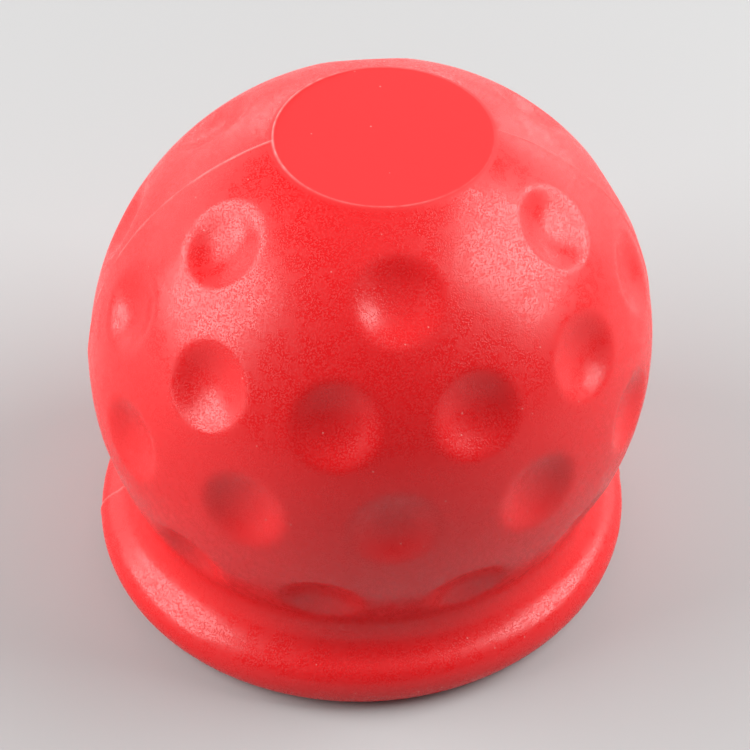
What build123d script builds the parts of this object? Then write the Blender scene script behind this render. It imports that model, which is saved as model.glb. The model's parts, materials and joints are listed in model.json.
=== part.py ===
"""Tow ball cover: a one-piece soft moulding, a dimpled ball with a flat crown and a flared lip at its mouth.

The frame stands the cover on its lip: origin at the centre of the foot ring, +Z up through the crown.
The mould parts in the XZ plane, so the dimples are laid out in two like halves that face -Y and +Y.
All sizes are in millimetres.
"""

from build123d import *
from math import acos, atan2, cos, degrees, radians, sin, sqrt
import os

# Ball
ball_diameter = 68.0
crown_flat_diameter = 25.2

# Flared lip at the mouth, and the round groove of the neck, which lies this deep inside the ball's widest
neck_depth = 5.75
neck_groove_round = 3.0
lip_outer_diameter = 66.3
lip_round = 3.6

# Socket for a 50 mm tow ball, with a mouth that closes in this far on each side and that the ball snaps through
tow_ball_diameter = 50.0
socket_clearance = 0.2
mouth_grip = 2.0
mouth_lead_in = 2.0
socket_blend = 1.5

# Dimples
dimple_diameter = 9.4
dimple_depth = 1.6
dimple_rim_fillet = 2.4
# Their rings from the crown down: latitudes, how many are on one mould half, and the angles between them
ring_latitude_angles = (50.0, 26.3, 4.0, -21.0)
ring_half_counts = (3, 6, 5, 6)
ring_spacing_angles = (60.0, 30.0, 30.0, 31.5)
mould_half_angles = (-90.0, 90.0)

# The lip stands on the foot plane, the groove touches the lip's round, and the ball touches the groove
ball_radius = ball_diameter / 2
lip_centre_radius = lip_outer_diameter / 2 - lip_round
groove_centre_radius = ball_radius - neck_depth + neck_groove_round
groove_over_lip = sqrt((lip_round + neck_groove_round) ** 2 - (groove_centre_radius - lip_centre_radius) ** 2)
groove_centre_height = lip_round + groove_over_lip
ball_over_groove = sqrt((ball_radius + neck_groove_round) ** 2 - groove_centre_radius**2)
ball_centre_height = groove_centre_height + ball_over_groove
neck_angle = -degrees(atan2(ball_over_groove, groove_centre_radius))
lip_start_angle = degrees(atan2(groove_over_lip, groove_centre_radius - lip_centre_radius))
foot_angle = -90.0

# Crown
crown_radius = crown_flat_diameter / 2
crown_angle = degrees(acos(crown_radius / ball_radius))
crown_height = ball_centre_height + ball_radius * sin(radians(crown_angle))

# Socket and mouth
socket_radius = tow_ball_diameter / 2 + socket_clearance
mouth_radius = tow_ball_diameter / 2 - mouth_grip
mouth_angle = -degrees(acos(mouth_radius / socket_radius))
mouth_top_height = ball_centre_height + socket_radius * sin(radians(mouth_angle))
socket_top_height = ball_centre_height + socket_radius

# A dimple is a spherical scoop: its radius follows from its depth and its width on the ball
dimple_radius = dimple_diameter / 2
dimple_sag = ball_radius - sqrt(ball_radius**2 - dimple_radius**2)
scoop_height = dimple_depth - dimple_sag
scoop_radius = (dimple_radius**2 + scoop_height**2) / (2 * scoop_height)
scoop_centre_distance = ball_radius - dimple_depth + scoop_radius
pick_margin = 0.05


def mouth_corners(sketch):
    """The corners of the section that lie on the wall of the mouth, from the foot up."""
    on_wall = (mouth_radius - pick_margin, mouth_radius + pick_margin)
    return sketch.vertices().filter_by_position(Axis.X, *on_wall).sort_by(Axis.Y)


def is_dimple_rim(edge):
    """True for the circle where a scoop meets the ball."""
    return edge.geom_type == GeomType.CIRCLE and abs(edge.radius - dimple_radius) < pick_margin


with BuildPart() as cover:
    # The moulding's half section, turned about the axis
    with BuildSketch(Plane.XZ) as section:
        with BuildLine():
            Line((0, crown_height), (crown_radius, crown_height))
            CenterArc((0, ball_centre_height), ball_radius, crown_angle, neck_angle - crown_angle)
            groove_centre = (groove_centre_radius, groove_centre_height)
            CenterArc(groove_centre, neck_groove_round, neck_angle + 180.0, lip_start_angle - neck_angle)
            lip = CenterArc((lip_centre_radius, lip_round), lip_round, lip_start_angle, foot_angle - lip_start_angle)
            Line(lip @ 1, (mouth_radius, 0))
            Line((mouth_radius, 0), (mouth_radius, mouth_top_height))
            CenterArc((0, ball_centre_height), socket_radius, mouth_angle, 90.0 - mouth_angle)
            Line((0, socket_top_height), (0, crown_height))
        make_face()
        fillet(mouth_corners(section)[-1], socket_blend)
        chamfer(mouth_corners(section)[0], mouth_lead_in)
    revolve(axis=Axis.Z)

    # Rings of dimples, the same number on each mould half, centred on the way that half faces
    for latitude, half_count, spacing in zip(ring_latitude_angles, ring_half_counts, ring_spacing_angles):
        ring_radius = scoop_centre_distance * cos(radians(latitude))
        ring_height = ball_centre_height + scoop_centre_distance * sin(radians(latitude))
        spread = spacing * (half_count - 1)
        for direction in mould_half_angles:
            with Locations((0, 0, ring_height)):
                with PolarLocations(ring_radius, half_count, direction - spread / 2, spread, endpoint=True):
                    Sphere(scoop_radius, mode=Mode.SUBTRACT)
    fillet(cover.edges().filter_by(is_dimple_rim), dimple_rim_fillet)

os.makedirs("parts", exist_ok=True)
cover.part.label = "cover"
export_step(cover.part, "parts/cover.step")
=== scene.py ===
"""Tow ball cover in soft red PVC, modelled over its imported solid.

Lengths are in metres, in the solid's own frame: the cover stands on z = 0, and its mould parts in the
XZ plane.
"""

import json
from math import acos, asin, atan2, cos, exp, hypot, pi, radians, sin, sqrt

import bmesh
import bpy
from mathutils import Matrix, Vector, noise
from mathutils.geometry import intersect_sphere_sphere_2d


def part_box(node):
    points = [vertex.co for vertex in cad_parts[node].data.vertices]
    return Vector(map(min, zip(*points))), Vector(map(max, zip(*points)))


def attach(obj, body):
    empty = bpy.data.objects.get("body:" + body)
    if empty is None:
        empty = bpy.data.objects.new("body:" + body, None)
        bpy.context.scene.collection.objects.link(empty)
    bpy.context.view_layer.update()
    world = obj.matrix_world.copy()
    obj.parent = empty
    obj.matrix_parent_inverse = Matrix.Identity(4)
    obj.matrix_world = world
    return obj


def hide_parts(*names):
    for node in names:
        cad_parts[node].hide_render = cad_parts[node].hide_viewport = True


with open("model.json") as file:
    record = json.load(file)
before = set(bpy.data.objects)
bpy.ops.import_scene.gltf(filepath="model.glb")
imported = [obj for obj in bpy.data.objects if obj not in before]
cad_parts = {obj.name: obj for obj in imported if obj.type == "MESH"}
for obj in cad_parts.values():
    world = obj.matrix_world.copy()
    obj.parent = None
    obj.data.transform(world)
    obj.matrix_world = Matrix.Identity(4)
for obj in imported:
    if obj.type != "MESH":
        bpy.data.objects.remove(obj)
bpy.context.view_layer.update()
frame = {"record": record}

MM = 0.001
scene = bpy.context.scene

# Sizes of the moulding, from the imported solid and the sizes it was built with
low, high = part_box("cover")
mounts = {mount["name"]: mount for mount in frame["record"]["mounts"]}
ball_radius = (high[0] - low[0]) / 2
crown_height = high[2]
crown_radius = 12.6 * MM
lip_outer_radius = 33.15 * MM
lip_round = 3.6 * MM
mouth_radius = mounts["mouth"]["dims"]["r_mm"] * MM
mouth_lead_in = 2.0 * MM
socket_radius = 25.2 * MM
ball_centre = Vector((0, 0, crown_height - sqrt(ball_radius**2 - crown_radius**2)))

# The lip stands on the foot plane, and the neck is a soft valley that touches the lip and the ball
neck_round = 5.0 * MM
lip_centre = Vector((lip_outer_radius - lip_round, lip_round))
touching = intersect_sphere_sphere_2d(
    lip_centre,
    lip_round + neck_round,
    ball_centre.xz,
    ball_radius + neck_round,
)
neck_centre = max(touching, key=lambda point: point.x)

# Dimples: scoops in four rings, the same on each mould half
dimple_radius = 4.7 * MM
dimple_depth = 1.5 * MM
dimple_rim_softness = 0.8 * MM
mould_half_angles = (-90.0, 90.0)
# The rings from the crown down: latitude, dimples on one mould half, the angle between them, and a small turn
dimple_rings = (
    (50.0, 3, 60.0, 0.0),
    (26.3, 6, 30.0, 1.4),
    (4.0, 5, 30.0, -0.7),
    (-21.0, 6, 31.5, 1.1),
)

# Marks of the mould: the two halves meet a little out of line, and a thin flash stands where its pieces join
half_shift = 0.06 * MM
half_step_width = 0.12 * MM
foot_blend_start = 0.2 * MM
foot_blend_end = 1.5 * MM
crown_blend_in = 0.1 * MM
crown_blend_out = 0.4 * MM
seam_flash_width = 0.17 * MM
left_seam_flash = 0.17 * MM
right_seam_flash = 0.05 * MM
crown_flash_width = 0.1 * MM
crown_flash_height = 0.16 * MM
crown_flash_reach = 0.5 * MM
seam_unevenness_size = 3.0 * MM

# The soft moulding has settled a little out of round: each point moves this far along X for its Y
out_of_round = 0.0475

# Marks in the skin
flow_drift_size = 16.0 * MM
dust_spacing = 2.4 * MM
worn_patch_size = 2.0 * MM
pit_size = 0.19 * MM
pit_depth = 0.007 * MM
# The skin's grain fades out this far below the crown's flat
crown_skin_start = 0.1 * MM
crown_skin_end = 0.3 * MM

# Steps of the mesh
crown_rim_zone = 0.5 * MM
crown_flat_steps = 8
crown_rim_steps = 6
round_steps = 22
foot_steps = 3
lead_in_steps = 2
mouth_steps = 5
merge_distance = 0.002 * MM
seam_band_angle = radians(1.6)
seam_band_steps = 8
half_steps = 190
ball_steps = 130

# The photograph's camera, fitted to the ball's outline, the crown's rim and the lip
photo_size = 750
photo_focal_length = 2819
photo_ball_centre = (372.0, 341.1)
camera_distance = 10 * ball_radius
camera_azimuth = radians(-10.0)
camera_elevation = radians(43.15)
camera_roll = radians(3.3)
sensor_width = 36.0
softbox_distance = 0.45
floor_half_width = 3.0


def smooth_step(value, start, end):
    """0 before start, 1 after end, and a smooth rise between them."""
    share = min(max((value - start) / (end - start), 0.0), 1.0)
    return share * share * (3 - 2 * share)


def bell(value, width):
    """1 at zero, falling away on both sides over about this width."""
    return exp(-((value / width) ** 2))


# Section of the moulding, drawn in the XZ plane by moving one vertex


def line_to(bm, vert, x, z, steps):
    """Draws a straight run from a vertex to a point, in equal steps, and gives its last vertex."""
    step = (Vector((x, 0, z)) - vert.co) / steps
    for _ in range(steps):
        vert = bmesh.ops.extrude_vert_indiv(bm, verts=[vert])["verts"][0]
        vert.co += step
    return vert


def arc_to(bm, vert, x, z, angle, steps):
    """Turns a vertex about x, z, clockwise for a positive angle, and gives the arc's last vertex."""
    arc = bmesh.ops.spin(bm, geom=[vert], cent=(x, 0, z), axis=(0, 1, 0), angle=angle, steps=steps)
    return [item for item in arc["geom_last"] if isinstance(item, bmesh.types.BMVert)][0]


def draw_section(bm):
    """The half section of the moulding: down its outside from the crown to the foot, then up its inside."""
    rim_zone_angle = crown_rim_zone / ball_radius
    crown_angle = asin(crown_radius / ball_radius)
    neck_angle = atan2(ball_centre.z - neck_centre.y, neck_centre.x)
    lip_angle = atan2(neck_centre.y - lip_centre.y, neck_centre.x - lip_centre.x)
    mouth_angle = acos(mouth_radius / socket_radius)
    mouth_top = ball_centre.z - socket_radius * sin(mouth_angle)

    vert = bm.verts.new((0, 0, crown_height))
    vert = line_to(bm, vert, crown_radius - crown_rim_zone, crown_height, crown_flat_steps)
    vert = line_to(bm, vert, crown_radius, crown_height, crown_rim_steps)
    vert = arc_to(bm, vert, 0, ball_centre.z, rim_zone_angle, crown_rim_steps)
    vert = arc_to(bm, vert, 0, ball_centre.z, pi / 2 + neck_angle - crown_angle - rim_zone_angle, ball_steps)
    vert = arc_to(bm, vert, neck_centre.x, neck_centre.y, -(neck_angle + lip_angle), round_steps)
    vert = arc_to(bm, vert, lip_centre.x, lip_centre.y, lip_angle + pi / 2, round_steps)
    vert = line_to(bm, vert, mouth_radius + mouth_lead_in, 0, foot_steps)
    vert = line_to(bm, vert, mouth_radius, mouth_lead_in, lead_in_steps)
    vert = line_to(bm, vert, mouth_radius, mouth_top, mouth_steps)
    arc_to(bm, vert, 0, ball_centre.z, -(mouth_angle + pi / 2), round_steps)


def spin_section(bm):
    """Spins the section through one mould half, with close columns at the seams, and adds a turned copy."""
    section = bm.verts[:] + bm.edges[:]
    stretches = (
        (seam_band_angle, seam_band_steps),
        (pi - 2 * seam_band_angle, half_steps),
        (seam_band_angle, seam_band_steps),
    )
    for angle, steps in stretches:
        turned = bmesh.ops.spin(bm, geom=section, cent=(0, 0, 0), axis=(0, 0, 1), angle=angle, steps=steps)
        section = turned["geom_last"]
    other_half = bmesh.ops.duplicate(bm, geom=bm.verts[:] + bm.edges[:] + bm.faces[:])["geom"]
    turned_verts = [item for item in other_half if isinstance(item, bmesh.types.BMVert)]
    bmesh.ops.rotate(bm, cent=(0, 0, 0), matrix=Matrix.Rotation(pi, 3, "Z"), verts=turned_verts)
    bmesh.ops.remove_doubles(bm, verts=bm.verts, dist=merge_distance)
    bmesh.ops.recalc_face_normals(bm, faces=bm.faces)


# Shape of the mould


def dimple_axes():
    """The directions from the ball's centre to each dimple."""
    axes = []
    for latitude, half_count, spacing, ring_turn in dimple_rings:
        for facing in mould_half_angles:
            for index in range(half_count):
                turn = radians(facing + ring_turn + spacing * (index - (half_count - 1) / 2))
                up = radians(latitude)
                axes.append(Vector((cos(up) * cos(turn), cos(up) * sin(turn), sin(up))))
    return axes


def dimpled_radius(radius, cosine):
    """A skin point's distance from the ball's centre once a dimple is pressed at this cosine off its axis."""
    sag = ball_radius - sqrt(ball_radius**2 - dimple_radius**2)
    scoop_height = dimple_depth - sag
    scoop_radius = (dimple_radius**2 + scoop_height**2) / (2 * scoop_height)
    scoop_distance = ball_radius - dimple_depth + scoop_radius
    reach = scoop_radius**2 - scoop_distance**2 * (1 - cosine**2)
    if reach <= 0:
        return radius
    scoop = scoop_distance * cosine - sqrt(reach)
    overlap = max(dimple_rim_softness - abs(radius - scoop), 0) / dimple_rim_softness
    return min(radius, scoop) - overlap**2 * dimple_rim_softness / 4


def press_dimples(bm):
    """Presses the dimples into the outer skin, from the crown's rim down to the neck."""
    axes = dimple_axes()
    for vert in bm.verts:
        offset = vert.co - ball_centre
        if offset.length > socket_radius + dimple_depth and vert.co.z > neck_centre.y:
            direction = offset.normalized()
            cosine = max(direction.dot(axis) for axis in axes)
            vert.co = ball_centre + direction * dimpled_radius(offset.length, cosine)


def has_mould_marks(place):
    """True on the outer skin above the foot, and on the upper part of the socket, which has the marks too."""
    below_ball = place.z < ball_centre.z
    return not below_ball or hypot(place.x, place.y) > mouth_radius + mouth_lead_in


def crown_flash(angle):
    """The height of the flash round the crown: thickest at the back left, and worn away on the right."""
    back_left = max(cos(angle - radians(150)), 0) ** 2
    right = max(cos(angle - radians(15)), 0) ** 0.5
    notches = 14
    ragged = 0.7 + 0.6 * noise.noise(Vector((notches * cos(angle), notches * sin(angle), 0)))
    return crown_flash_height * (0.4 + 1.1 * back_left) * (1 - 0.9 * right) * ragged


def raise_mould_marks(bm):
    """Moves the mould halves out of line, raises the flash, and records the mask of the flash's painted
    highlight.
    """
    bm.normal_update()
    flash_highlight = bm.verts.layers.float.new("flash_highlight")
    for vert in bm.verts:
        if not has_mould_marks(vert.co):
            continue
        x, y, z = vert.co
        reach = hypot(x, y)
        above_foot = smooth_step(z, foot_blend_start, foot_blend_end)
        below_crown = smooth_step(reach, crown_radius - crown_blend_in, crown_radius + crown_blend_out)
        if z < ball_centre.z:
            below_crown = 1.0

        # Flash along the seams, uneven in height
        seam_height = left_seam_flash if x < 0 else right_seam_flash
        uneven = 0.65 + 0.7 * noise.noise(Vector((x, 0, z)) / seam_unevenness_size)
        seam = bell(y, seam_flash_width) * above_foot * below_crown * max(uneven, 0)
        rise = vert.normal * seam_height * seam

        # Flash round the crown's rim
        ring = 0.0
        if z > crown_height - crown_flash_reach:
            ring = bell(reach - crown_radius, crown_flash_width) * crown_flash(atan2(y, x))
            rise.z += ring
        # The mask of the painted highlight on the flash: its height, scaled to the left seam's flash
        vert[flash_highlight] = min(seam * seam_height / left_seam_flash + ring / crown_flash_height, 1)

        # The front half sits towards -X and the back half towards +X
        side = 2 * smooth_step(y, -half_step_width, half_step_width) - 1
        vert.co += rise
        vert.co.x += half_shift * side * above_foot * below_crown


def build_cover():
    """The whole moulding as one closed mesh."""
    bm = bmesh.new()
    draw_section(bm)
    spin_section(bm)
    press_dimples(bm)
    raise_mould_marks(bm)
    shear = Matrix.Identity(4)
    shear[0][1] = out_of_round
    bmesh.ops.transform(bm, matrix=shear, verts=bm.verts)
    for face in bm.faces:
        face.smooth = True
    mesh = bpy.data.meshes.new("cover_moulding")
    bm.to_mesh(mesh)
    bm.free()
    piece = bpy.data.objects.new("cover_moulding", mesh)
    scene.collection.objects.link(piece)
    return piece


# Materials


def linear(hex_colour):
    """An sRGB hex colour as linear red, green, blue and alpha."""
    channels = [int(hex_colour[place : place + 2], 16) / 255 for place in (1, 3, 5)]
    return [c / 12.92 if c <= 0.04045 else ((c + 0.055) / 1.055) ** 2.4 for c in channels] + [1.0]


def node(tree, kind, links=None, **settings):
    """Adds a node, with its settings and socket values, and links the outputs it is given to its inputs."""
    made = tree.nodes.new(kind)
    inputs = settings.pop("inputs", {})
    for name, value in settings.items():
        setattr(made, name, value)
    for name, value in inputs.items():
        made.inputs[name].default_value = value
    for name, output in (links or {}).items():
        tree.links.new(output, made.inputs[name])
    return made


def moulded_pvc():
    """Soft PVC, moulded in a spark-eroded tool: satin, with a fine grain that breaks up the highlights."""
    material = bpy.data.materials.new("moulded_soft_pvc")
    material.use_nodes = True
    tree = material.node_tree
    shader = tree.nodes["Principled BSDF"]
    place = node(tree, "ShaderNodeTexCoord").outputs["Object"]

    # Slow drifts of colour from the way the melt flowed
    flow = node(
        tree,
        "ShaderNodeTexNoise",
        {"Vector": place},
        inputs={"Scale": 1 / flow_drift_size, "Detail": 3.0, "Roughness": 0.55},
    )
    body = node(
        tree,
        "ShaderNodeMix",
        {"Factor": flow.outputs["Fac"]},
        data_type="RGBA",
        inputs={"A": linear("#DC1519"), "B": linear("#E6191D")},
    )

    # Painted highlight: the flash is drawn in a paler pink, for the light it catches where it stands proud
    flash_highlight = node(tree, "ShaderNodeAttribute", attribute_name="flash_highlight")
    flash_highlighted = node(
        tree,
        "ShaderNodeMix",
        {"Factor": flash_highlight.outputs["Fac"], "A": body.outputs["Result"]},
        data_type="RGBA",
        inputs={"B": linear("#F88A88")},
    )

    # Specks of dust, up to a quarter of a millimetre across, about two to each square centimetre
    dust = node(tree, "ShaderNodeTexVoronoi", {"Vector": place}, inputs={"Scale": 1 / dust_spacing})
    speck = node(
        tree,
        "ShaderNodeMapRange",
        {"Value": dust.outputs["Distance"]},
        inputs={"From Min": 0.03, "From Max": 0.055, "To Min": 0.4, "To Max": 0.0},
    )
    colour = node(
        tree,
        "ShaderNodeMix",
        {"Factor": speck.outputs["Result"], "A": flash_highlighted.outputs["Result"]},
        data_type="RGBA",
        inputs={"B": linear("#F0B4AC")},
    )

    # The crown's flat was shaped by its own piece of the tool, so it is even and matt, with no grain
    height = node(tree, "ShaderNodeSeparateXYZ", {"Vector": place})
    grained = node(
        tree,
        "ShaderNodeMapRange",
        {"Value": height.outputs["Z"]},
        inputs={
            "From Min": crown_height - crown_skin_end,
            "From Max": crown_height - crown_skin_start,
            "To Min": 1.0,
            "To Max": 0.0,
        },
    )
    base_roughness = node(
        tree,
        "ShaderNodeMapRange",
        {"Value": grained.outputs["Result"]},
        inputs={"To Min": 0.65, "To Max": 0.24},
    )

    # Patches a millimetre or two wide where the tool was worn, so the grain is flatter and the skin duller
    patches = node(
        tree,
        "ShaderNodeTexNoise",
        {"Vector": place},
        inputs={"Scale": 1 / worn_patch_size, "Detail": 3.0, "Roughness": 0.6},
    )
    worn = node(
        tree,
        "ShaderNodeMapRange",
        {"Value": patches.outputs["Fac"], "To Max": grained.outputs["Result"]},
        inputs={"From Min": 0.48, "From Max": 0.6},
    )

    # Grain of the tool: fine dull pits, drawn a little coarser than the real ones so that they show
    spark = node(
        tree,
        "ShaderNodeTexNoise",
        {"Vector": place},
        inputs={"Scale": 1 / pit_size, "Detail": 0.0},
    )
    pits = node(
        tree,
        "ShaderNodeMapRange",
        {"Value": spark.outputs["Fac"], "To Max": grained.outputs["Result"]},
        inputs={"From Min": 0.52, "From Max": 0.6},
    )
    skin_roughness = node(
        tree,
        "ShaderNodeMapRange",
        {"Value": worn.outputs["Result"], "To Min": base_roughness.outputs["Result"]},
        inputs={"To Max": 0.36},
    )
    roughness = node(
        tree,
        "ShaderNodeMapRange",
        {"Value": pits.outputs["Result"], "To Min": skin_roughness.outputs["Result"]},
        inputs={"To Max": 0.6},
    )
    relief = node(
        tree,
        "ShaderNodeMapRange",
        {"Value": worn.outputs["Result"]},
        inputs={"To Min": 1.0, "To Max": 0.5},
    )
    bump = node(
        tree,
        "ShaderNodeBump",
        {"Height": pits.outputs["Result"], "Strength": relief.outputs["Result"]},
        inputs={"Distance": pit_depth},
        invert=True,
    )
    tree.links.new(colour.outputs["Result"], shader.inputs["Base Color"])
    tree.links.new(roughness.outputs["Result"], shader.inputs["Roughness"])
    tree.links.new(bump.outputs["Normal"], shader.inputs["Normal"])
    shader.inputs["IOR"].default_value = 1.5
    return material


def studio_floor():
    """A plain sheet of pale grey paper that the cover stands on."""
    bm = bmesh.new()
    bmesh.ops.create_grid(bm, x_segments=1, y_segments=1, size=floor_half_width)
    mesh = bpy.data.meshes.new("floor")
    bm.to_mesh(mesh)
    bm.free()
    floor = bpy.data.objects.new("floor", mesh)
    scene.collection.objects.link(floor)
    material = bpy.data.materials.new("pale_grey_paper")
    material.use_nodes = True
    shader = material.node_tree.nodes["Principled BSDF"]
    shader.inputs["Base Color"].default_value = linear("#B2B2B2")
    shader.inputs["Roughness"].default_value = 0.9
    shader.inputs["Specular IOR Level"].default_value = 0.0
    mesh.materials.append(material)


def studio_world():
    """A dim grey room behind the softboxes."""
    world = bpy.data.worlds.new("studio")
    scene.world = world
    world.use_nodes = True
    background = world.node_tree.nodes["Background"]
    background.inputs["Color"].default_value = linear("#FFFFFF")
    background.inputs["Strength"].default_value = 0.1


def softbox(name, azimuth, elevation, width, height, power):
    """A soft light that looks at the ball's centre, from this far round the front and this high."""
    light = bpy.data.lights.new(name, "AREA")
    light.shape = "RECTANGLE"
    light.size = width
    light.size_y = height
    light.energy = power
    lamp = bpy.data.objects.new(name, light)
    turn = radians(azimuth)
    up = radians(elevation)
    direction = Vector((sin(turn) * cos(up), -cos(turn) * cos(up), sin(up)))
    lamp.location = ball_centre + direction * softbox_distance
    lamp.rotation_euler = direction.to_track_quat("Z", "Y").to_euler()
    scene.collection.objects.link(lamp)


def photo_camera():
    """The photograph's view of the ball."""
    back = Vector(
        (
            sin(camera_azimuth) * cos(camera_elevation),
            -cos(camera_azimuth) * cos(camera_elevation),
            sin(camera_elevation),
        )
    )
    level = Vector((cos(camera_azimuth), sin(camera_azimuth), 0))
    upright = back.cross(level)
    right = cos(camera_roll) * level + sin(camera_roll) * upright
    up = cos(camera_roll) * upright - sin(camera_roll) * level
    across = (photo_ball_centre[0] - photo_size / 2) / photo_focal_length
    above = (photo_size / 2 - photo_ball_centre[1]) / photo_focal_length
    data = bpy.data.cameras.new("photo_camera")
    data.sensor_width = sensor_width
    data.lens = sensor_width * photo_focal_length / photo_size
    data.clip_start = 0.01
    camera = bpy.data.objects.new("photo_camera", data)
    place = ball_centre + camera_distance * (back - across * right - above * up)
    axes = Matrix((right, up, back)).transposed().to_4x4()
    camera.matrix_world = Matrix.Translation(place) @ axes
    scene.collection.objects.link(camera)
    scene.camera = camera


cover = build_cover()
cover.data.materials.append(moulded_pvc())
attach(cover, "root")
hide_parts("cover")

studio_floor()
studio_world()

# A broad bank on each side, and weaker lamps behind and above
softbox("left_bank", azimuth=-90, elevation=29, width=0.37, height=0.35, power=2.8)
softbox("right_bank", azimuth=88, elevation=38, width=0.34, height=0.34, power=2.7)
softbox("right_low", azimuth=128, elevation=10, width=0.3, height=0.2, power=0.3)
softbox("back_left", azimuth=-142, elevation=14, width=0.35, height=0.25, power=0.45)
softbox("back_right", azimuth=150, elevation=14, width=0.3, height=0.25, power=0.3)
softbox("back", azimuth=180, elevation=18, width=0.35, height=0.25, power=0.55)
softbox("top", azimuth=0, elevation=88, width=0.25, height=0.25, power=0.06)
softbox("top_front", azimuth=10, elevation=58, width=0.25, height=0.25, power=0.05)

photo_camera()
scene.view_settings.view_transform = "Standard"
